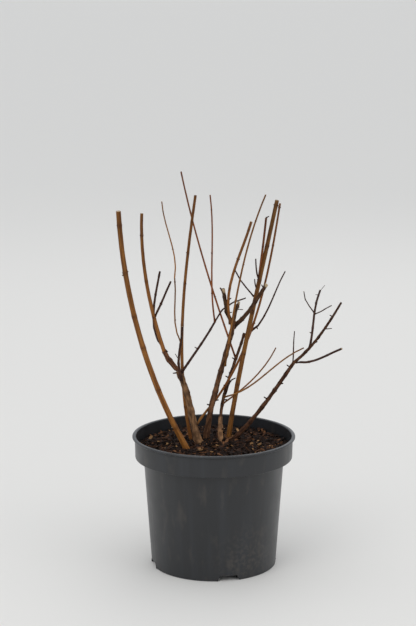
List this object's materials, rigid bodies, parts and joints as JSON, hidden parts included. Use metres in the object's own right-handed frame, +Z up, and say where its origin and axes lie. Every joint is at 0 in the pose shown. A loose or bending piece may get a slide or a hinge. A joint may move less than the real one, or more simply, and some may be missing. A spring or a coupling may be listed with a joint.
{
  "type": "potted panicle hydrangea",
  "caption": "Leafless pruned panicle hydrangea with slender canes from several old stems, in a round black plastic nursery pot filled with bark compost.",
  "frame": {"origin": "Centre of the pot's flat underside, at ground level", "axes": "+Z up along the pot's axis, -Y towards the front as pictured, +X to the right seen from the front"},
  "size_m": [0.3444, 0.257, 0.6118],
  "materials": {
    "pot_plastic": "satin charcoal plastic, soil stains near the foot",
    "mulch": "dark moist bark compost with lighter chips",
    "old_bark": "rough grey-brown old bark",
    "cane_bark": "smooth orange-brown bark of young canes",
    "shoot_bark": "dark brown bark of thin side shoots"
  },
  "bodies": {
    "root": {"pot": "pot_plastic", "compost": "mulch", "outer_left_cane": "cane_bark", "upright_cane": "cane_bark", "left_old_stem": "old_bark", "centre_old_stem": "old_bark", "pale_stump": "old_bark", "right_cane": "cane_bark", "right_bough": "old_bark", "left_old_branch": "old_bark", "left_cane": "cane_bark", "fork_stick": "shoot_bark", "crossing_shoot": "shoot_bark", "left_dark_shoot": "shoot_bark", "left_dark_side_shoot": "shoot_bark", "pale_wand_foot": "cane_bark", "pale_wand": "cane_bark", "crossing_shoot_tip": "shoot_bark", "red_wand": "cane_bark", "gold_cane_foot": "cane_bark", "gold_cane": "cane_bark", "side_whip_foot": "shoot_bark", "side_whip": "shoot_bark", "fork_left_arm": "old_bark", "fork_middle_stub": "old_bark", "fork_right_arm": "old_bark", "copper_cane": "cane_bark", "slender_cane": "cane_bark", "dark_stem": "old_bark", "long_red_wand": "cane_bark", "hooked_twig": "shoot_bark", "low_front_wand": "cane_bark", "low_back_wand": "cane_bark", "right_cane_twin": "cane_bark", "right_cane_twig": "shoot_bark", "right_bough_upper": "old_bark", "right_bough_low_arm": "shoot_bark", "right_bough_riser": "shoot_bark", "riser_left_twig": "shoot_bark", "riser_right_twig": "shoot_bark", "right_bough_thin_twig": "shoot_bark"}
  },
  "joints": []
}
